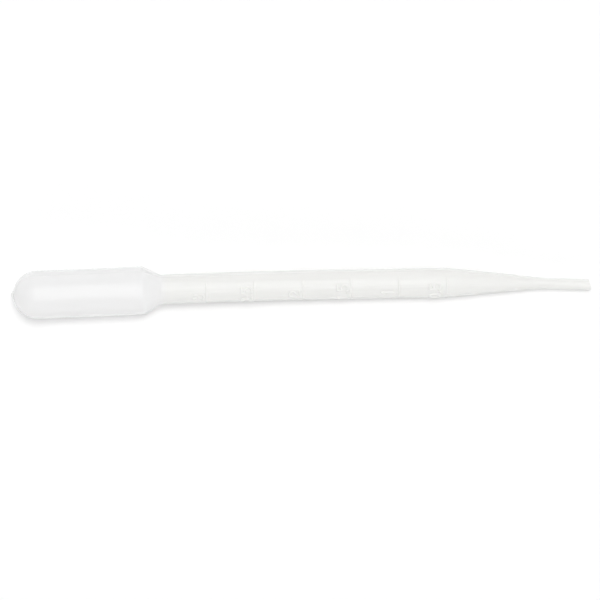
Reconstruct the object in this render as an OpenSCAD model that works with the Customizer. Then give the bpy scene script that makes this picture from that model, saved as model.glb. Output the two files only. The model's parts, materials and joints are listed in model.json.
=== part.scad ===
// Transfer pipette: one thin blow-moulded piece with a squeeze bulb, a graduated stem and a drawn tip.
// It lies on its side on the plane z = 0, with the stem along X and the tip towards +X.
// Three straight lengths follow each other, the bulb, the stem and the tip, with a slight bend between them.

/* [Bulb] */
// Outside diameter of the bulb
bulb_d = 12.8; // [10:0.1:16]
// Length from the end of the dome to the corner of the shoulder
bulb_l = 34.6; // [20:0.1:50]
// Wall of the bulb and of its shoulder
bulb_wall = 0.38; // [0.2:0.01:0.8]
// Angle of the shoulder from the axis
shoulder_angle = 28.5; // [20:0.5:45]
// Outside radius where the bulb turns into the shoulder
bulb_round = 2; // [1:0.1:3]
// Outside radius where the shoulder runs out into the stem
neck_round = 2; // [0.5:0.1:4]

/* [Stem] */
// Outside diameter of the stem
stem_d = 7.8; // [6:0.1:9.4]
// Length of the stem, from the foot of the shoulder to the start of the taper
stem_l = 76.2; // [50:0.1:110]
// Wall of the stem
stem_wall = 0.37; // [0.2:0.01:0.8]

/* [Tip] */
// Length of the taper between the stem and the tip tube
taper_l = 25.4; // [15:0.1:40]
// Length of the tip tube, measured on its axis
tip_l = 13.1; // [5:0.1:25]
// Outside diameter of the tip tube
tip_d = 2.8; // [2.5:0.05:4]
// Bore of the tip tube
tip_bore = 2.05; // [0.8:0.05:2.2]
// Outside radius where the taper runs out into the tip tube
taper_round = 40; // [5:1:80]
// Angle of the cut across the end of the tip, away from square
tip_cut = 15; // [0:1:30]

/* [Graduations] */
// Volume from one line to the next, in millilitres
line_volume = 0.5; // [0.25:0.05:1]
// Largest number of lines
line_count = 6; // [0:1:10]
// Width of a raised line
line_w = 0.4; // [0.2:0.05:0.8]
// Height of a raised line above the stem
line_h = 0.12; // [0.05:0.01:0.2]
// Angle that a line spans round the stem
line_span = 120; // [30:5:170]

/* [Moulding] */
// Width of the seam left where the mould closes
seam_w = 0.25; // [0.1:0.05:0.6]
// Height of the seam
seam_h = 0.08; // [0.03:0.01:0.15]
// Width of the pinched-off nub on the end of the bulb
nub_w = 2.6; // [1:0.1:4]
// Thickness of the nub
nub_t = 0.8; // [0.4:0.1:1.5]
// Height of the nub above the dome
nub_h = 0.5; // [0.2:0.1:2]
// Depth of the small flats that the soft wall has where it rests
rest_flat = 0.1; // [0.02:0.01:0.2]
// Turn of the whole piece about its own length, from lines straight up
roll = 40; // [0:1:60]
// Bend between the bulb and the stem
bulb_bend = 1; // [0:0.05:2.5]
// Bend between the stem and the tip
tip_bend = 2.15; // [0:0.05:3.5]

/* [Hidden] */
$fn = 96;

milky = [0.93, 0.94, 0.95, 0.8];
shoulder_l = (bulb_d - stem_d) / 2 / tan(shoulder_angle);
dome_x = -shoulder_l - bulb_l + bulb_d / 2;
bulb_end_x = -shoulder_l - bulb_l;
tip_run = taper_l + tip_l;
tip_wall = (tip_d - tip_bore) / 2;
// Degrees by which the neck's radius stops short of the stem, so that it meets the stem after the bend too.
neck_edge = 4;
// Depth by which a round cuts past its tangent point, so that it crosses its neighbour cleanly.
bite = 0.0003;
// Each ridge of the seam is this much narrower than the one that it ends in.
tuck = 0.01;
// Length by which the ridges run past each other at a bend.
lap = 0.1;
// Radius of the nub's rounded end, as a share of its width.
nub_crown = 0.75;
// Length past the start of the taper at which the outline of the stem starts to widen.
flare_gap = 2;
// Length and width, outside the piece, of the outlines and blocks that trim it.
past_end = 5;
reach = 10;

// Centre of the radius that turns the bulb into the shoulder, as [radius, position along the axis].
bulb_round_at = [bulb_d / 2 - bulb_round, -shoulder_l - bulb_round * tan(shoulder_angle / 2)];
// The bulb bends away where the neck's radius has run out.
neck_x = neck_center(stem_d / 2, 0, shoulder_angle, neck_round).y;

// The pipette rests on two flats: under the end of its bulb and under the corner where the taper starts.
rest_run = stem_l - neck_x - (bulb_round_at.y - neck_x) * cos(bulb_bend);
rest_drop = bulb_round_at.x - stem_d / 2;
rest_tilt = asin(bulb_round / norm([rest_run, rest_drop])) + atan2(rest_drop, rest_run);
rest_h = stem_l * sin(rest_tilt) + stem_d / 2 * cos(rest_tilt) - rest_flat;

// The origin is on the floor, below the middle of the whole length and width.
back_x = neck_x + (bulb_end_x - nub_h - neck_x) * cos(bulb_bend);
front_x = stem_l + tip_run * cos(tip_bend);
mid_x = (back_x + front_x) / 2 * cos(rest_tilt);
mid_y = (dome_x + bulb_round_at.y - 2 * neck_x) / 2 * sin(bulb_bend);

// The lines come from the volume held below them, with the tip down.
tip_r = tip_bore / 2;
stem_r = stem_d / 2 - stem_wall;
taper_slope = atan2(stem_d / 2 - tip_d / 2, taper_l);
bore_slope = (stem_r - tip_r) / taper_l;
tip_volume = PI * tip_r ^ 2 * tip_l;
taper_volume = PI * (stem_r ^ 3 - tip_r ^ 3) / 3 / bore_slope;

// Distance back from the end of the tip to the level that holds a volume, in cubic millimetres.
function level(volume) =
  volume < tip_volume ? volume / PI / tip_r ^ 2 :
  volume < tip_volume + taper_volume ? tip_l + taper_level(volume - tip_volume) :
  tip_run + (volume - tip_volume - taper_volume) / PI / stem_r ^ 2;
function taper_level(volume) =
  ((tip_r ^ 3 + 3 * bore_slope * volume / PI) ^ (1 / 3) - tip_r) / bore_slope;

// Centre of the radius that runs a slope out into a round of radius r, a little short of its tangent point.
function neck_center(r, foot, slope, round_r) =
  [r + round_r * cos(neck_edge),
   foot + round_r * (1 - cos(neck_edge) * cos(slope)) / sin(slope)];

module along_x() {
  rotate([0, 90, 0]) children();
}

// Frames of the three lengths. In each, the mould closes on the plane z = 0 and the lines face +Z.
module on_bulb() {
  translate([neck_x, 0, 0]) rotate([0, 0, bulb_bend]) rotate([roll, 0, 0]) translate([-neck_x, 0, 0])
    children();
}

module on_stem() {
  rotate([roll, 0, 0]) children();
}

module on_tip() {
  translate([stem_l, 0, 0]) rotate([0, 0, -tip_bend]) rotate([roll, 0, 0]) children();
}

// Half section of the bulb. x is the radius, and y runs along the axis towards the stem.
// A skin is how far the section lies inside the outside of the piece.
module bulb_section(bulb_skin, stem_skin) {
  r = bulb_d / 2 - bulb_skin;
  neck_r = stem_d / 2 - stem_skin;
  corner = -shoulder_l - bulb_skin * tan(shoulder_angle / 2);
  foot = -stem_skin * tan(shoulder_angle / 2);
  slope = atan2(r - neck_r, foot - corner);
  normal = [cos(slope), sin(slope)];
  outer_r = bulb_round - bulb_skin;
  outer = [r - outer_r, corner - outer_r * tan(slope / 2)];
  inner_r = neck_round + stem_skin;
  inner = neck_center(neck_r, foot, slope, inner_r);
  intersection() {
    translate([0, dome_x - r]) square([r, inner.y - dome_x + r]);
    union() {
      translate([0, dome_x]) circle(r);
      translate([0, dome_x]) square([r, outer.y - dome_x]);
      translate(outer) circle(outer_r);
      difference() {
        polygon([
          [0, dome_x], [outer.x, dome_x], outer, outer + (outer_r - bite) * normal,
          inner - (inner_r - bite) * normal, inner, [0, inner.y]
        ]);
        translate(inner) circle(inner_r);
      }
    }
  }
}

// Half section that rules the stem: straight as far as the taper, then widening out of the tip's way.
module stem_section(skin) {
  r = stem_d / 2 - skin;
  end_x = stem_l + tip_run + past_end;
  polygon([
    [0, -shoulder_l], [r, -shoulder_l], [r, stem_l + flare_gap], [r + reach, end_x], [0, end_x]
  ]);
}

// Half section that rules the tip, with the start of the taper at y = 0. Its cone widens back over the stem.
module tip_section(stem_skin, tip_skin) {
  start_r = stem_d / 2 - stem_skin;
  tube_r = tip_d / 2 - tip_skin;
  slope = atan2(start_r - tube_r, taper_l);
  rear_x = -stem_l - shoulder_l - past_end;
  end_x = tip_run + past_end;
  round_r = taper_round + tip_skin;
  center = [tube_r + round_r, taper_l + round_r * tan(slope / 2)];
  difference() {
    polygon([
      [0, rear_x], [start_r - rear_x * tan(slope), rear_x],
      center - (round_r - bite) * [cos(slope), sin(slope)], center,
      [tube_r, center.y], [tube_r, end_x], [0, end_x]
    ]);
    translate(center) circle(round_r);
  }
}

module bulb_form(bulb_skin, stem_skin) {
  on_bulb() along_x() rotate_extrude() bulb_section(bulb_skin, stem_skin);
}

// Stem, taper and tip tube. It starts inside the bulb and runs past the end of the tip.
module shaft_form(stem_skin, tip_skin) {
  intersection() {
    on_stem() along_x() rotate_extrude() stem_section(stem_skin);
    on_tip() along_x() rotate_extrude() tip_section(stem_skin, tip_skin);
  }
}

// What lies past the slanted cut across the end of the tip.
module past_cut() {
  on_tip() translate([tip_run, 0, 0]) rotate([-roll, 0, 0]) rotate([0, 0, tip_cut])
    translate([0, -reach, -reach]) cube(2 * reach);
}

// One raised line, centred on +Z.
module line(r) {
  arc_r = (line_w ^ 2 / 4 + line_h ^ 2) / 2 / line_h;
  along_x() rotate_extrude(angle = line_span, start = 180 - line_span / 2)
    translate([r + line_h - arc_r, 0]) circle(arc_r);
}

// Lines at equal steps of volume, as many as the taper and the stem hold.
module graduations() {
  for (i = [1:1:line_count]) {
    back = level(i * line_volume * 1000);
    on_taper = tip_run - back;
    if (on_taper > 0 && back > tip_l)
      on_tip() translate([on_taper, 0, 0]) line(stem_d / 2 - on_taper * tan(taper_slope));
    if (on_taper <= 0 && back < tip_run + stem_l - neck_x)
      on_stem() translate([stem_l + on_taper, 0, 0]) line(stem_d / 2);
  }
}

// A thin plate in the plane where the mould closes, with a half section and its mirror image as outline.
module plate(thickness) {
  linear_extrude(thickness, center = true) {
    mirror([1, -1]) children();
    mirror([0, 1]) mirror([1, -1]) children();
  }
}

// The fine ridge that the closed mould leaves along both sides, as far as the tip tube.
// Each plate is a little larger than the outside, and the cavity clears its middle.
module seam() {
  on_bulb() plate(seam_w - tuck) bulb_section(-seam_h, -seam_h);
  on_stem() plate(seam_w)
    translate([0, -shoulder_l]) square([stem_d / 2 + seam_h, shoulder_l + stem_l + lap]);
  on_tip() plate(seam_w - tuck)
    intersection() {
      tip_section(-seam_h, -seam_h);
      translate([0, -lap]) square([reach, lap + taper_l]);
    }
}

// The nub where the tube was pinched off to close the bulb.
module nub() {
  crown_r = nub_w * nub_crown;
  on_bulb() translate([bulb_end_x, 0, 0])
    linear_extrude(nub_t, center = true)
      intersection() {
        translate([-nub_h, -nub_w / 2]) square([nub_h + bulb_wall, nub_w]);
        translate([crown_r - nub_h, 0]) circle(crown_r);
      }
}

module outside() {
  union() {
    bulb_form(0, 0);
    shaft_form(0, 0);
    graduations();
    seam();
    nub();
  }
}

module cavity() {
  union() {
    bulb_form(bulb_wall, stem_wall);
    shaft_form(stem_wall, tip_wall);
  }
}

// The place in which the pipette lies.
module lying() {
  translate([-mid_x, -mid_y, rest_h]) rotate([0, rest_tilt, 0]) children();
}

// Everything lower than a height.
module below(height) {
  translate([0, 0, height - reach]) cube([2 * (front_x - back_x), 2 * bulb_d, 2 * reach], center = true);
}

module pipette() {
  color(milky)
    difference() {
      lying() outside();
      difference() {
        lying() cavity();
        below(bulb_wall);
      }
      lying() past_cut();
      below(0);
    }
}

pipette();
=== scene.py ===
# %% [markdown]
# # A transfer pipette in milky plastic
# The real object is blown in one piece from soft, natural polyethylene: a squeeze bulb, a long stem with
# raised volume lines, and a tip drawn out thin. The CAD part already says where everything is, but its
# surface is cut into coarse facets and carries no numerals. So this lesson loads the CAD part as a frame,
# builds one fine skin of the same shape round it, and spends the rest of its effort on plastic and light.

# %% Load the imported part
import json
from math import atan, atan2, cos, pi, radians, sin, tan

import bpy
import numpy as np
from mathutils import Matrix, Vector


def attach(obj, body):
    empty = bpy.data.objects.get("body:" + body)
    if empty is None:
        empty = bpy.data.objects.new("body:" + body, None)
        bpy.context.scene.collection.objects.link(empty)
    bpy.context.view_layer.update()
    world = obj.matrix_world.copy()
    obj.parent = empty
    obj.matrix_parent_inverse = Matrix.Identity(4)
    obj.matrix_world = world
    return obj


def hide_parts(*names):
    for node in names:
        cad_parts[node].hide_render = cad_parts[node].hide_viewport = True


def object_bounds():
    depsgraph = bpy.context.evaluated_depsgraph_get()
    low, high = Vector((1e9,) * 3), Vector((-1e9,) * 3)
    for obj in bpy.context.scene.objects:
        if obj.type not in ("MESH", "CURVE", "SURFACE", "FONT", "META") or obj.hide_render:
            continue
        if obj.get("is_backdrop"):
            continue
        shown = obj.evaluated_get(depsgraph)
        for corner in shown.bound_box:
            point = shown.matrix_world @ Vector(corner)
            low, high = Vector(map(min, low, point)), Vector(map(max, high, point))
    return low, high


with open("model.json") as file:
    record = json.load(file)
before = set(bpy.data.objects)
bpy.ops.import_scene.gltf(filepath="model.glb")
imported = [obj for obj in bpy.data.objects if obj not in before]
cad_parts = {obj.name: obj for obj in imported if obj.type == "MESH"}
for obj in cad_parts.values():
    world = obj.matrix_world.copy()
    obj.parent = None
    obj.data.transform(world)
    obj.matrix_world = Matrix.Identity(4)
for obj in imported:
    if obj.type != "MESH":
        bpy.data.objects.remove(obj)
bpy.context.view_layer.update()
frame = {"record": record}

MM = 0.001

# %% [markdown]
# ## Sizes
# A moulded part follows from a few driving sizes, and the skin uses the same ones as the CAD, in
# millimetres. Distances along the pipette are counted from the foot of the shoulder, where the stem
# starts: negative towards the bulb and positive towards the tip.

# %% Driving sizes of the moulding
BULB_R, STEM_R, TIP_R = 6.4, 3.9, 1.4
BULB_LENGTH, STEM_LENGTH, TAPER_LENGTH, TIP_LENGTH = 34.6, 76.2, 25.4, 13.1
SHOULDER_ANGLE = radians(28.5)
ROUND_R = 2.0
TAPER_START_ROUND_R = 15.0
TAPER_END_ROUND_R = 40.0
WALL = 0.375
TIP_CUT = radians(15)

shoulder_length = (BULB_R - STEM_R) / tan(SHOULDER_ANGLE)
dome_x = BULB_R - shoulder_length - BULB_LENGTH
taper_end = STEM_LENGTH + TAPER_LENGTH
tip_end = taper_end + TIP_LENGTH
taper_angle = atan((STEM_R - TIP_R) / TAPER_LENGTH)
whole_length = tip_end + shoulder_length + BULB_LENGTH
print("shoulder", round(shoulder_length, 3), "whole length", round(whole_length, 2))

# %% [markdown]
# ## Outline
# Half of the outline, turned round the axis, gives the whole body. It could be typed in as points, but a
# mould maker draws it as straight runs joined by rounds, and that is what is done here: each run or round
# adds points together with the direction in which the surface faces. The direction is what lets a line or
# a numeral rise square to the plastic, and what lets the inside run at an even depth below the outside.

# %% Helpers that draw runs and rounds
POINT_GAP = 0.02


def straight(start, end):
    """Points (x, radius, facing angle) from start to end. An angle of 90 degrees faces straight out."""
    (x0, r0), (x1, r1) = start, end
    count = max(2, int(np.hypot(x1 - x0, r1 - r0) / POINT_GAP))
    t = np.linspace(0, 1, count)
    facing = atan2(x1 - x0, r0 - r1)
    return np.stack([x0 + t * (x1 - x0), r0 + t * (r1 - r0), np.full(count, facing)], 1)


def rounded(center, radius, start, end):
    """An arc between two facing angles. A negative radius makes a hollow round."""
    count = max(3, int(abs(radius * (end - start)) / POINT_GAP))
    a = np.linspace(start, end, count)
    return np.stack([center[0] + radius * np.cos(a), center[1] + radius * np.sin(a), a], 1)


# %% Draw the outside from the end of the bulb to the tip
OUT = pi / 2
shoulder_faces, taper_faces = OUT - SHOULDER_ANGLE, OUT - taper_angle

dome = rounded((dome_x, 0), BULB_R, pi, OUT)
bulb_round = rounded(
    (-shoulder_length - ROUND_R * tan(SHOULDER_ANGLE / 2), BULB_R - ROUND_R),
    ROUND_R, OUT, shoulder_faces,
)
neck = rounded((ROUND_R * tan(SHOULDER_ANGLE / 2), STEM_R + ROUND_R), -ROUND_R, shoulder_faces, OUT)
taper_start = rounded(
    (STEM_LENGTH - TAPER_START_ROUND_R * tan(taper_angle / 2), STEM_R - TAPER_START_ROUND_R),
    TAPER_START_ROUND_R, OUT, taper_faces,
)
taper_finish = rounded(
    (taper_end + TAPER_END_ROUND_R * tan(taper_angle / 2), TIP_R + TAPER_END_ROUND_R),
    -TAPER_END_ROUND_R, taper_faces, OUT,
)
rounds = [dome, bulb_round, neck, taper_start, taper_finish]
runs = [dome]
for before, after in zip(rounds, rounds[1:]):
    runs += [straight(before[-1, :2], after[0, :2])[1:-1], after]
runs.append(straight(taper_finish[-1, :2], (tip_end, TIP_R))[1:])
outline = np.concatenate(runs)
path_length = np.concatenate([[0], np.cumsum(np.hypot(*np.diff(outline[:, :2], axis=0).T))])
print("outline of", len(outline), "points,", round(path_length[-1], 1), "mm long")

# %% [markdown]
# ## Where the volume lines stand
# The lines are not evenly spaced by eye: each stands where the pipette, held tip down, holds another half
# millilitre. The volume of the tip and of the cone is known from the bore, and the rest is a plain column
# in the stem. Working it out keeps the scale true if a size changes.

# %% Line positions from the volume below them
LINE_STEP_ML, LINE_COUNT, MM3_PER_ML = 0.5, 6, 1000
stem_bore, tip_bore = STEM_R - WALL, TIP_R - WALL
cone_slope = (stem_bore - tip_bore) / TAPER_LENGTH
below_stem = pi * tip_bore**2 * TIP_LENGTH + pi * (stem_bore**3 - tip_bore**3) / 3 / cone_slope
line_x = [
    STEM_LENGTH - max(0, (i + 1) * LINE_STEP_ML * MM3_PER_ML - below_stem) / (pi * stem_bore**2)
    for i in range(LINE_COUNT)
]
print("lines at", [round(x, 2) for x in line_x])

# %% [markdown]
# ## Numerals as strokes
# The numerals are cut into the mould with a round-nosed tool, so each one is a path with a soft raised
# rib along it. A font could be cut out and laid on the stem, but it would sit on the plastic like a
# sticker. Here each numeral is a few strokes in a box one wide and one high, and the skin itself will rise
# wherever it lies near a stroke. Each stands a little towards the bulb from its line, the lowest two
# somewhat farther.

# %% Strokes of the numerals that the scale needs
def bow(center, radii, start, end, count=14):
    """A piece of an ellipse, between two angles in degrees."""
    a = np.radians(np.linspace(start, end, count))
    return [(center[0] + radii[0] * cos(v), center[1] + radii[1] * sin(v)) for v in a]


STROKES = {
    "0": [bow((0.5, 0.5), (0.5, 0.5), 0, 360, 28)],
    "1": [[(0.2, 0.76), (0.56, 1.0), (0.56, 0.0)]],
    "2": [bow((0.5, 0.7), (0.48, 0.3), 170, -35) + [(0.02, 0.0), (1.0, 0.0)]],
    "3": [bow((0.46, 0.74), (0.42, 0.26), 155, -90), bow((0.46, 0.25), (0.5, 0.27), 90, -155)],
    "5": [[(0.92, 1.0), (0.12, 1.0), (0.08, 0.56)] + bow((0.46, 0.33), (0.5, 0.33), 130, -150)],
    ".": [[(0.5, 0.0), (0.5, 0.03)]],
}
DIGIT_WIDTH, DIGIT_HEIGHT, DIGIT_GAP, POINT_WIDTH = 1.75, 2.85, 0.5, 0.35
LIFT, LOW_LIFT, LOW_COUNT = 0.8, 1.75, 2


def label_segments(text):
    """Stroke segments of a label, centred on the column, as rows of (u0, v0, u1, v1) in millimetres."""
    widths = [POINT_WIDTH if c == "." else DIGIT_WIDTH for c in text]
    u = -(sum(widths) + DIGIT_GAP * (len(text) - 1)) / 2
    rows = []
    for c, width in zip(text, widths):
        for stroke in STROKES[c]:
            p = np.array(stroke) * (width, DIGIT_HEIGHT) + (u, 0)
            rows.append(np.hstack([p[:-1], p[1:]]))
        u += width + DIGIT_GAP
    return np.concatenate(rows)


numerals = []
for i, x in enumerate(line_x):
    lift = LOW_LIFT if i < LOW_COUNT else LIFT
    numerals.append((f"{(i + 1) * LINE_STEP_ML:g}", x, x - lift))
print("numerals:", [text for text, _, _ in numerals])

# %% [markdown]
# ## Stations of the grid
# The skin is a grid: rings along the outline and columns round it. An even grid fine enough for the
# numerals would run to millions of faces, so the rings crowd together only where a line, a numeral or a
# round needs them, and the columns only under the numerals, along the two mould seams and at the side that
# rests on the table.

# %% Rings along the outline
def spread(low, high, gap):
    """Even values from low to high, about one gap apart."""
    return np.linspace(low, high, max(2, int(round((high - low) / gap)) + 1))


def thinned(values, least_gap):
    """Sorted values without those that follow another too closely."""
    values = np.sort(values)
    return values[np.concatenate([[True], np.diff(values) > least_gap])]


PLAIN_GAP, DOME_GAP, ROUND_GAP = 1.0, 0.4, 0.2
NUB_REACH, NUB_GAP = 2.0, 0.09
NUMERAL_MARGIN, NUMERAL_GAP = 0.4, 0.115
LEAST_RING_GAP = 0.022
AWAY_FROM_LINE = np.array([0, 0.05, 0.1, 0.15, 0.2, 0.25, 0.32])
AWAY_FROM_TIP = np.array([0.12, 0.2, 0.35, 0.6])

plain_x = spread(-shoulder_length - BULB_LENGTH, tip_end, PLAIN_GAP)
ring_groups = [
    np.interp(plain_x, outline[:, 0], path_length),
    spread(0, NUB_REACH, NUB_GAP),
    spread(NUB_REACH, path_length[len(dome)], DOME_GAP),
]
for part in (bulb_round, neck):
    low, high = np.interp(part[[0, -1], 0], outline[:, 0], path_length)
    ring_groups.append(spread(low - ROUND_GAP, high + ROUND_GAP, ROUND_GAP))
for _, x, foot in numerals:
    line_s, foot_s = np.interp((x, foot), outline[:, 0], path_length)
    ring_groups += [line_s - AWAY_FROM_LINE, line_s + AWAY_FROM_LINE]
    head_s = foot_s - DIGIT_HEIGHT
    ring_groups.append(spread(head_s - NUMERAL_MARGIN, foot_s + NUMERAL_MARGIN, NUMERAL_GAP))
ring_groups.append(path_length[-1] - AWAY_FROM_TIP)
stations = thinned(np.concatenate(ring_groups), LEAST_RING_GAP)
outer = np.stack([np.interp(stations, path_length, outline[:, k]) for k in range(3)], 1)
print(len(stations), "rings outside")

# %% Columns round the axis, in degrees from the middle of the marks
ROLL = radians(40)
MARKED_REACH, MARKED_GAP = 39, 1.6
PLAIN_TURN = 4.0
REST_SIDE, REST_REACH, REST_GAP = -140, 14, 2.0
SEAM_SIDES, AWAY_FROM_SEAM = (-90, 90), (0, 0.6, 1.2, 1.9, 2.8, 3.9)
LEAST_TURN = 0.45

columns = [
    spread(-MARKED_REACH, MARKED_REACH, MARKED_GAP),
    spread(-180, 180 - PLAIN_TURN, PLAIN_TURN),
    spread(REST_SIDE - REST_REACH, REST_SIDE + REST_REACH, REST_GAP),
]
for seam_side in SEAM_SIDES:
    for away in AWAY_FROM_SEAM:
        columns.append([seam_side - away, seam_side + away])
phi = thinned(np.mod(np.radians(np.concatenate(columns)) + pi, 2 * pi) - pi, radians(LEAST_TURN))
print(len(phi), "columns")

# %% [markdown]
# ## Relief
# Everything that stands off the smooth body is one height, looked up for each point of the grid: the volume
# lines, the numerals, the seam where the two halves of the mould met, and a faint unevenness. Soft
# polyethylene never keeps a perfect round, and without that unevenness its shine would be one straight
# stripe. The ridges use a smooth step for their flanks, because a blown part has no crisp edges.

# %% Height of the relief
def smooth(low, high, value):
    """Rises softly from 0 at low to 1 at high."""
    t = np.clip((value - low) / (high - low), 0, 1)
    return t * t * (3 - 2 * t)


def ridge(distance, half_width, flank):
    """One along the middle of a rib, and nothing beside it. Its slope is two flanks wide."""
    return 1 - smooth(half_width - flank, half_width + flank, distance)


def distance_to(segments, u, v):
    """Shortest distance from each point to a set of segments."""
    best = np.full(u.shape, np.inf)
    for u0, v0, u1, v1 in segments:
        du, dv = u1 - u0, v1 - v0
        t = np.clip(((u - u0) * du + (v - v0) * dv) / (du * du + dv * dv), 0, 1)
        best = np.minimum(best, np.hypot(u - u0 - t * du, v - v0 - t * dv))
    return best


LINE_HEIGHT, LINE_HALF_WIDTH, LINE_FLANK = 0.12, 0.15, 0.09
LINE_REACH, LINE_END_FLANK = radians(60), radians(2)
NUMERAL_HEIGHT, STROKE_HALF_WIDTH, STROKE_FLANK, NUMERAL_REACH = 0.26, 0.2, 0.1, radians(42)
SEAM_HEIGHT, SEAM_HALF_WIDTH, SEAM_FLANK, SEAM_FADE = 0.08, 0.12, 0.07, 6

x_grid, phi_grid = np.meshgrid(outer[:, 0], phi, indexing="ij")
r_grid = outer[:, 1][:, None]
marks = np.zeros(x_grid.shape)
for text, x, foot in numerals:
    line = ridge(np.abs(x_grid - x), LINE_HALF_WIDTH, LINE_FLANK)
    line = line * ridge(np.abs(phi_grid), LINE_REACH, LINE_END_FLANK)
    marks = np.maximum(marks, LINE_HEIGHT * line)
    near = np.abs(x_grid - foot + DIGIT_HEIGHT / 2) < DIGIT_HEIGHT
    near &= np.abs(phi_grid) < NUMERAL_REACH
    away = distance_to(label_segments(text), (r_grid * phi_grid)[near], (foot - x_grid)[near])
    numeral = NUMERAL_HEIGHT * ridge(away, STROKE_HALF_WIDTH, STROKE_FLANK)
    marks[near] = np.maximum(marks[near], numeral)
seam_away = r_grid * np.abs(np.cos(phi_grid))
seam = SEAM_HEIGHT * ridge(seam_away, SEAM_HALF_WIDTH, SEAM_FLANK)
seam = seam * (1 - smooth(taper_end - SEAM_FADE, taper_end, x_grid))
print("highest mark", round(marks.max(), 3), "mm, seam", round(seam.max(), 3), "mm")

# %% The faint unevenness of blown plastic
rng = np.random.default_rng(11)


def unevenness(x, angle, lobes, reach, wave_count=14):
    """A sum of slow waves round and along the pipette, about one high. Lobes are waves round it."""
    total = np.zeros(x.shape)
    for _ in range(wave_count):
        n = rng.integers(*lobes)
        total += np.sin(n * angle + x * rng.uniform(-1, 1) * 2 * pi / reach + rng.uniform(0, 2 * pi))
    return total / np.sqrt(wave_count)


WAVE_REACH = 60
RIPPLE_HEIGHT, RIPPLE_LOBES, BULB_SHARE = 0.018, (7, 15), 0.2
OVAL_HEIGHT, OVAL_LOBES = 0.016, (2, 4)
STEM_SIDE_X, BULB_SIDE_X = 5, -3
CALM_R, FULL_R = 0.5, 3

ripple = RIPPLE_HEIGHT * unevenness(x_grid, phi_grid, RIPPLE_LOBES, WAVE_REACH)
ripple *= 1 - (1 - BULB_SHARE) * smooth(-STEM_SIDE_X, -BULB_SIDE_X, -x_grid)
oval = OVAL_HEIGHT * unevenness(x_grid, phi_grid, OVAL_LOBES, WAVE_REACH)
waves = (ripple + oval) * r_grid / STEM_R * smooth(CALM_R, FULL_R, r_grid)
relief = marks + seam + waves
print("unevenness from", round(waves.min(), 3), "to", round(waves.max(), 3), "mm")

# %% [markdown]
# ## The nub on the bulb
# The bulb is closed by pinching the soft tube between the halves of the mould, which leaves a small flat
# nub in the plane of the seam. It could be a separate block pushed into the dome, but the real one flows
# out of it, so the grid is drawn out along the axis there instead.

# %% Pull the nub out of the dome
NUB_WIDTH, NUB_THICK, NUB_HEIGHT, NUB_CROWN_R = 2.6, 0.8, 0.5, 1.95
NUB_FLANK, NUB_END_FLANK = 0.09, 0.1
along_seam, across_seam = r_grid * np.sin(phi_grid), r_grid * np.cos(phi_grid)
crown = NUB_HEIGHT - NUB_CROWN_R + np.sqrt(np.maximum(NUB_CROWN_R**2 - along_seam**2, 0))
dome_drop = BULB_R - np.sqrt(np.maximum(BULB_R**2 - r_grid**2, 0))
nub = np.maximum(crown + dome_drop, 0) * ridge(np.abs(across_seam), NUB_THICK / 2, NUB_FLANK)
nub *= ridge(np.abs(along_seam), NUB_WIDTH / 2, NUB_END_FLANK) * (x_grid < dome_x)
print("nub stands", round(nub.max(), 2), "mm off the dome")

# %% [markdown]
# ## The closed outline
# The pipette is a hollow shell, and light passes through a wall on each side of the hollow. So the grid
# doesn't stop at the tip: it turns over a narrow lip with sloped edges and runs back along the inside to
# the bulb, one wall deeper than the outside.

# %% Outside, lip and inside as one grid
LIP_EDGE, LIP_CLEARANCE = 0.1, 0.01
INNER_GAP, INNER_CALM_R = 1.6, 1.2
INNER_HEIGHT, INNER_LOBES, INNER_REACH = 0.02, (2, 6), 45

facing = outer[:, 2][:, None]
outer_x = x_grid + relief * np.cos(facing) - nub
outer_r = r_grid + relief * np.sin(facing)

lip = np.array([
    (tip_end - LIP_EDGE, TIP_R), (tip_end, TIP_R - LIP_EDGE),
    (tip_end, tip_bore + LIP_EDGE), (tip_end - LIP_EDGE, tip_bore),
])
lip_x, lip_r = lip[:, :1] + 0 * phi, lip[:, 1:] + 0 * phi
keep = outer[:, 0] < tip_end - LIP_EDGE - LIP_CLEARANCE

inner_stations = stations[keep][::-1]
in_next_gap = np.diff(np.floor(inner_stations / INNER_GAP)) != 0
inner_stations = inner_stations[np.concatenate([[True], in_next_gap])]
inner = np.stack([np.interp(inner_stations, path_length, outline[:, k]) for k in range(3)], 1)
inner = inner[:, :, None]
inner_x = inner[:, 0] - WALL * np.cos(inner[:, 2]) + 0 * phi
inner_r = inner[:, 1] - WALL * np.sin(inner[:, 2]) + 0 * phi
inner_waves = unevenness(inner_x, phi[None, :] + 0 * inner_x, INNER_LOBES, INNER_REACH)
inner_r += INNER_HEIGHT * inner_waves * smooth(INNER_CALM_R, FULL_R, inner_r)
all_x = np.concatenate([outer_x[keep], lip_x, inner_x])
all_r = np.maximum(np.concatenate([outer_r[keep], lip_r, inner_r]), 0)
outer_count, lip_count = int(keep.sum()), len(lip_x)
print("grid of", all_x.shape[0], "rings by", all_x.shape[1], "columns")

# %% [markdown]
# ## From the straight outline to the place where it lies
# A long thin moulding cools with a slight bow, and this one is bent at the neck and again where the taper
# starts. A curve modifier could do that, but the same few lines of arithmetic keep the stem exactly on the
# axis that the CAD's stem mount states. The tip is snipped off at a slant first.

# %% Snip, bow and lay down
BULB_BEND, TIP_BEND = radians(1), radians(-2.15)
BOWS = {"bulb": -0.1, "stem": 0.28, "tip": 0.18}
CUT_REACH, SIGHT = 2.5, 1.5
bend_x = ROUND_R * tan(SHOULDER_ANGLE / 2)
turn = phi[None, :] - ROLL
side, up = np.sin(turn), np.cos(turn)

slant = -tan(TIP_CUT) * all_r * side
all_x = all_x + slant * np.clip((all_x - tip_end + CUT_REACH) / CUT_REACH, 0, 1)


def half_wave(x, low, high):
    """One midway between low and high, and nothing at either of them or beyond."""
    inside = np.clip((x - low) / (high - low), 0, 1)
    return np.sin(pi * inside)


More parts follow.
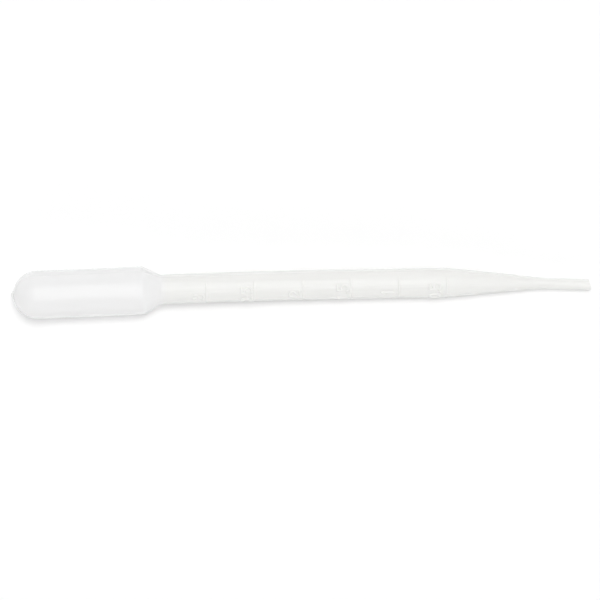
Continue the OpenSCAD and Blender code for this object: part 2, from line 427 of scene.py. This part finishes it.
def centre_line(x):
    """Place of the axis at a distance x, in the plane that the pipette lies in."""
    back, ahead = np.minimum(x - bend_x, 0), np.maximum(x - STEM_LENGTH, 0)
    along = np.clip(x, bend_x, STEM_LENGTH) + back * cos(BULB_BEND) + ahead * cos(TIP_BEND)
    across = back * sin(BULB_BEND) + ahead * sin(TIP_BEND)
    across = across + BOWS["bulb"] * half_wave(x, dome_x - BULB_R, bend_x)
    across = across + BOWS["stem"] * half_wave(x, bend_x, STEM_LENGTH)
    return along, across + BOWS["tip"] * half_wave(x, STEM_LENGTH, tip_end)


axis_x, axis_y = centre_line(all_x)
ahead_x, ahead_y = centre_line(all_x + SIGHT)
behind_x, behind_y = centre_line(all_x - SIGHT)
heading = np.arctan2(ahead_y - behind_y, ahead_x - behind_x)
local = np.stack([
    axis_x - all_r * side * np.sin(heading), axis_y + all_r * side * np.cos(heading), all_r * up
], 2)

mounts = {m["name"]: m for m in frame["record"]["mounts"]}
x_axis = np.array(mounts["stem"]["axis"])
y_axis = np.array([0.0, 1.0, 0.0])
z_axis = np.cross(x_axis, y_axis)
stem_middle = (bend_x + STEM_LENGTH) / 2
origin = np.array(mounts["stem"]["pos_m"]) / MM - stem_middle * x_axis
placed = origin + local @ np.stack([x_axis, y_axis, z_axis])
print("foot of the shoulder at", origin.round(2), "mm")

# %% [markdown]
# ## Flats where it rests
# Soft thin plastic flattens a little where it touches the table, and the CAD has two such flats. The
# outside is pressed down to the table and the inside to one wall above it.

# %% Press the flats and build the mesh
placed[:outer_count, :, 2] = np.maximum(placed[:outer_count, :, 2], 0)
inside_rows = slice(outer_count + lip_count, None)
placed[inside_rows, :, 2] = np.maximum(placed[inside_rows, :, 2], WALL)


def grid_mesh(name, points):
    """Closes a grid of rings into a tube with a point at either end. Its faces look out of the plastic."""
    ends = points[[0, -1]].mean(1)
    body = points[1:-1]
    verts = np.concatenate([ends[:1], body.reshape(-1, 3), ends[1:]]) * MM
    rings, around = body.shape[:2]
    index = 1 + np.arange(rings * around).reshape(rings, around)
    beside = np.roll(index, -1, axis=1)
    quads = np.stack([index[:-1], index[1:], beside[1:], beside[:-1]], 2).reshape(-1, 4)
    first = np.stack([np.zeros(around, int), index[0], beside[0]], 1)
    last = np.stack([np.full(around, len(verts) - 1), beside[-1], index[-1]], 1)
    mesh = bpy.data.meshes.new(name)
    mesh.from_pydata(verts.tolist(), [], quads.tolist() + first.tolist() + last.tolist())
    mesh.validate()
    mesh.shade_smooth()
    return mesh


mesh = grid_mesh("pipette_skin", placed)
pipette = bpy.data.objects.new("pipette_skin", mesh)
bpy.context.scene.collection.objects.link(pipette)
print(len(mesh.vertices), "points,", len(mesh.polygons), "faces")

# %% [markdown]
# ## Ride and replace
# The skin is the whole pipette, so it rides on the part's only body and stands for the CAD node, which
# stays in the physics model for contact.

# %% Tie the skin to the frame
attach(pipette, "root")
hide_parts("pipette")

# %% [markdown]
# ## Milky plastic
# Natural polyethylene is neither clear nor white: light goes in, is scattered by tiny crystals, and comes
# out soft, while a part of it is bent and passes on. A fog inside the wall would be true to that, but slow
# and grainy in a wall this thin. One Principled shader does it well. Light is scattered below the surface
# over about half the thickness of the wall, so some of it comes out on the other side, and nearly a tenth
# is refracted straight through both walls, which gives the bright rim and the thin dark line along the
# outline. Faint clouds vary the colour. The stem was drawn out while it was warm, so fine draw lines run
# along it and break up its shine. The stem's colour is also set a trace darker and warmer than the bulb's.

# %% Helpers for node trees
def node(tree, kind, **settings):
    """Adds a node. Settings name its inputs, or its own properties if it has no such input."""
    made = tree.nodes.new(kind)
    for key, value in settings.items():
        name = key.replace("_", " ")
        if name in made.inputs:
            if isinstance(value, bpy.types.NodeSocket):
                tree.links.new(value, made.inputs[name])
            else:
                made.inputs[name].default_value = value
        else:
            setattr(made, key, value)
    return made


def blended(tree, kind, factor, first, second):
    """Mixes or multiplies two colours, each a socket or four numbers."""
    made = node(tree, "ShaderNodeMix", data_type="RGBA", blend_type=kind)
    for socket, value in zip((made.inputs[0], made.inputs[6], made.inputs[7]), (factor, first, second)):
        if isinstance(value, bpy.types.NodeSocket):
            tree.links.new(value, socket)
        else:
            socket.default_value = value
    return made.outputs[2]


def combined(tree, operation, first, second):
    """Arithmetic on two sockets."""
    made = node(tree, "ShaderNodeMath", operation=operation)
    tree.links.new(first, made.inputs[0])
    tree.links.new(second, made.inputs[1])
    return made.outputs[0]


# %% The plastic
MILKY, MILKIEST = (0.982, 0.982, 0.98, 1), (0.995, 0.995, 0.993, 1)
STEM_TINT = (0.92, 0.92, 0.9, 1)
GLOSSY, LESS_GLOSSY = 0.02, 0.05
LINE_SCALE, CLOUD_SCALE, GRAIN_SCALE, STRETCH = 1500.0, 260.0, 5200.0, 0.03
DRAW_LINE_DEPTH, GRAIN_DEPTH = 0.15 * MM, 0.01 * MM
REFRACTION, CLEAR_SHARE = 1.51, 0.09
SCATTER_DEPTH = 0.2 * MM

plastic = bpy.data.materials.new("milky_polyethylene")
plastic.use_nodes = True
tree = plastic.node_tree
shader = tree.nodes["Principled BSDF"]
place = node(tree, "ShaderNodeTexCoord").outputs["Object"]

# Noise squeezed along the length turns into long lines.
squeezed = node(tree, "ShaderNodeMapping", Vector=place, Scale=(STRETCH, 1, 1)).outputs["Vector"]
lines = node(
    tree, "ShaderNodeTexNoise", Vector=squeezed, Scale=LINE_SCALE, Detail=3.0, Roughness=0.55
).outputs["Fac"]
clouds = node(
    tree, "ShaderNodeTexNoise", Vector=place, Scale=CLOUD_SCALE, Detail=4.0, Roughness=0.5
).outputs["Fac"]
grain = node(tree, "ShaderNodeTexNoise", Vector=place, Scale=GRAIN_SCALE, Detail=2.0).outputs["Fac"]

# Nothing on the bulb, and rising to one from the top of the shoulder to its foot.
distance = node(tree, "ShaderNodeSeparateXYZ", Vector=place).outputs["X"]
on_stem = node(
    tree, "ShaderNodeMapRange", Value=distance,
    From_Min=(origin[0] - shoulder_length) * MM, From_Max=(origin[0] + ROUND_R) * MM,
).outputs["Result"]

cloudy = blended(tree, "MIX", clouds, MILKY, MILKIEST)
colour = blended(tree, "MULTIPLY", on_stem, cloudy, STEM_TINT)
roughness = node(
    tree, "ShaderNodeMapRange", Value=lines,
    From_Min=0.3, From_Max=0.7, To_Min=GLOSSY, To_Max=LESS_GLOSSY,
).outputs["Result"]
grainy = node(tree, "ShaderNodeBump", Height=grain, Strength=0.05, Distance=GRAIN_DEPTH)
drawn = node(
    tree, "ShaderNodeBump", Height=combined(tree, "MULTIPLY", lines, on_stem),
    Normal=grainy.outputs["Normal"], Strength=0.8, Distance=DRAW_LINE_DEPTH,
)

tree.links.new(colour, shader.inputs["Base Color"])
tree.links.new(roughness, shader.inputs["Roughness"])
tree.links.new(drawn.outputs["Normal"], shader.inputs["Normal"])
shader.inputs["IOR"].default_value = REFRACTION
shader.inputs["Transmission Weight"].default_value = CLEAR_SHARE
shader.inputs["Subsurface Weight"].default_value = 1.0
shader.inputs["Subsurface Radius"].default_value = (1.0, 1.0, 1.0)
shader.inputs["Subsurface Scale"].default_value = SCATTER_DEPTH
mesh.materials.append(plastic)
print("plastic made of", len(tree.nodes), "nodes")

# %% [markdown]
# ## Table
# The pipette lies on a plain white table. A glow in the table would keep it white under any lamp, but it
# would also fill the shadow, and the shadow is what shows that the pipette touches the table. So the table
# only has a colour, a little below white, and the light is set so that it shows white where nothing
# shades it. It also sends light up through the plastic from below.

# %% White table
TABLE_COLOUR, TABLE_HALF = 0.972, 1.5
table = bpy.data.materials.new("white_table")
table.use_nodes = True
tree = table.node_tree
tree.nodes.clear()
white = node(tree, "ShaderNodeBsdfDiffuse", Color=(TABLE_COLOUR, TABLE_COLOUR, TABLE_COLOUR, 1))
tree.links.new(white.outputs[0], node(tree, "ShaderNodeOutputMaterial").inputs["Surface"])

floor_mesh = bpy.data.meshes.new("table_top")
corners = [(x * TABLE_HALF, y * TABLE_HALF, 0) for x, y in ((-1, -1), (1, -1), (1, 1), (-1, 1))]
floor_mesh.from_pydata(corners, [], [(0, 1, 2, 3)])
floor_mesh.materials.append(table)
floor = bpy.data.objects.new("table_top", floor_mesh)
bpy.context.scene.collection.objects.link(floor)
floor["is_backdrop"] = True
print("table", 2 * TABLE_HALF, "m wide")

# %% [markdown]
# ## Light
# Small milky things are lit in a bright tent. It is plain white to the eye, in the shine and through the
# plastic. As light it is strong round the sides and weak overhead, because under an even tent the flanks
# and the round end would fall darker than the top. A wide soft box above makes up for the weak top, and
# gives the broad shine along the bulb and the stem. A smaller lamp a little to the far side throws the
# short shadow along the near side, and a low card on the near side returns some light to the shaded flank.
# Lamp and card are kept out of the shine, as if they stood behind the cloth. All of them are large and far
# away, so that the table is lit evenly as far as it reaches.

# %% The tent
SIDES, OVERHEAD = 1.05, 0.05
world = bpy.data.worlds.new("tent")
bpy.context.scene.world = world
world.use_nodes = True
tree = world.node_tree
tree.nodes.clear()
seen = node(tree, "ShaderNodeLightPath").outputs
to_eye = seen["Is Camera Ray"]
for kind in ("Is Glossy Ray", "Is Transmission Ray"):
    to_eye = combined(tree, "MAXIMUM", to_eye, seen[kind])
direction = node(tree, "ShaderNodeTexCoord").outputs["Generated"]
height = node(tree, "ShaderNodeSeparateXYZ", Vector=direction).outputs["Z"]
glow = node(tree, "ShaderNodeMapRange", Value=height, To_Min=SIDES, To_Max=OVERHEAD)
level = node(tree, "ShaderNodeMapRange", Value=to_eye, To_Min=glow.outputs[0], To_Max=1.0)
tent = node(tree, "ShaderNodeBackground", Color=(1, 1, 1, 1), Strength=level.outputs[0])
tree.links.new(tent.outputs[0], node(tree, "ShaderNodeOutputWorld").inputs["Surface"])
print("tent at", SIDES, "of white round the sides and", OVERHEAD, "overhead")


# %% Soft box, lamp and card
LAMP_DISTANCE = 3.6


def soft_lamp(name, size, tilt_y, tilt_x, radiance):
    """A rectangular lamp that faces the origin. Radiance is its brightness against white."""
    lamp = bpy.data.lights.new(name, "AREA")
    lamp.shape = "RECTANGLE"
    lamp.size, lamp.size_y = size
    lamp.energy = radiance * pi * size[0] * size[1]
    made = bpy.data.objects.new(name, lamp)
    direction = Vector((tan(radians(tilt_x)), tan(radians(tilt_y)), 1)).normalized()
    made.location = direction * LAMP_DISTANCE
    made.rotation_mode = "QUATERNION"
    made.rotation_quaternion = direction.to_track_quat("Z", "Y")
    bpy.context.scene.collection.objects.link(made)
    return made


soft_box = soft_lamp("soft_box", (2.55, 4.5), tilt_y=5, tilt_x=0, radiance=1.4)
side_lamp = soft_lamp("side_lamp", (1.05, 1.25), tilt_y=9, tilt_x=4, radiance=11.0)
near_card = soft_lamp("near_card", (3.6, 2.4), tilt_y=-70, tilt_x=0, radiance=0.5)
for hidden in (side_lamp, near_card):
    hidden.visible_glossy = False
print("lamps:", [round(lamp.data.energy) for lamp in (soft_box, side_lamp, near_card)], "W")

# %% [markdown]
# ## Camera
# The view is straight down through a long lens, so that the near and far ends are drawn at one scale. The
# pipette isn't laid quite square to the view, so the camera is turned by that small angle, and it looks a
# little to the near side of the pipette.

# %% Camera
VIEW_WIDTH, LENS, SENSOR = 0.16006, 200.0, 36.0
MIDDLE_X, MIDDLE_Y, AXIS_HEIGHT = -0.00044, -0.0034, 0.005
VIEW_TURN = radians(-1.387)

camera = bpy.data.cameras.new("camera")
camera.lens, camera.sensor_width = LENS, SENSOR
eye = bpy.data.objects.new("camera", camera)
eye.location = (MIDDLE_X, MIDDLE_Y, AXIS_HEIGHT + VIEW_WIDTH * LENS / SENSOR)
eye.rotation_euler = (0, 0, VIEW_TURN)
camera.clip_end = 20
bpy.context.scene.collection.objects.link(eye)
bpy.context.scene.camera = eye
bpy.context.scene.view_settings.view_transform = "Standard"
print("camera", round(eye.location.z, 3), "m up")

# %% Sizes and finish
low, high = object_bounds()
print("visual size in mm:", [round(v / MM, 2) for v in high - low])
